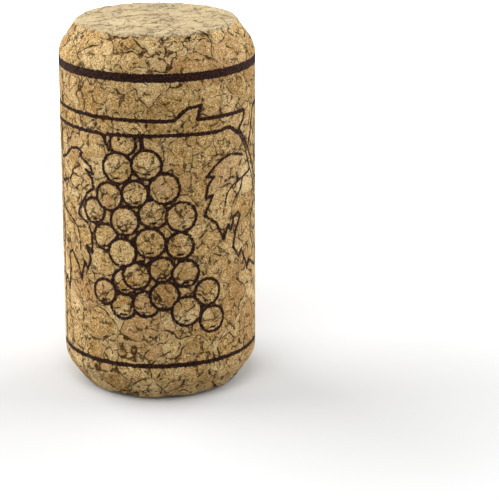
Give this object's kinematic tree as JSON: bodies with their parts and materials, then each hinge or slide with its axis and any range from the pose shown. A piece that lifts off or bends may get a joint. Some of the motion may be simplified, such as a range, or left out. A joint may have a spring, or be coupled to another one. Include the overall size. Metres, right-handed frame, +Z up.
{
  "type": "wine cork",
  "caption": "Granulated wine cork with wide chamfers at both ends and a printed vine, leaf and grape drawing between two ring lines",
  "frame": {"origin": "centre of the lower end face, on which the cork stands", "axes": "+Z up along the cork's axis; -Y towards the printed bunch of grapes; +X to the right when the grapes are faced"},
  "size_m": [0.0232, 0.0232, 0.044],
  "materials": {
    "cork": "matte granulated cork",
    "ink": "dark brown printing ink"
  },
  "bodies": {
    "root": {"cork_body": "cork", "frame_lines": "ink", "vine_print": "ink"}
  },
  "joints": []
}
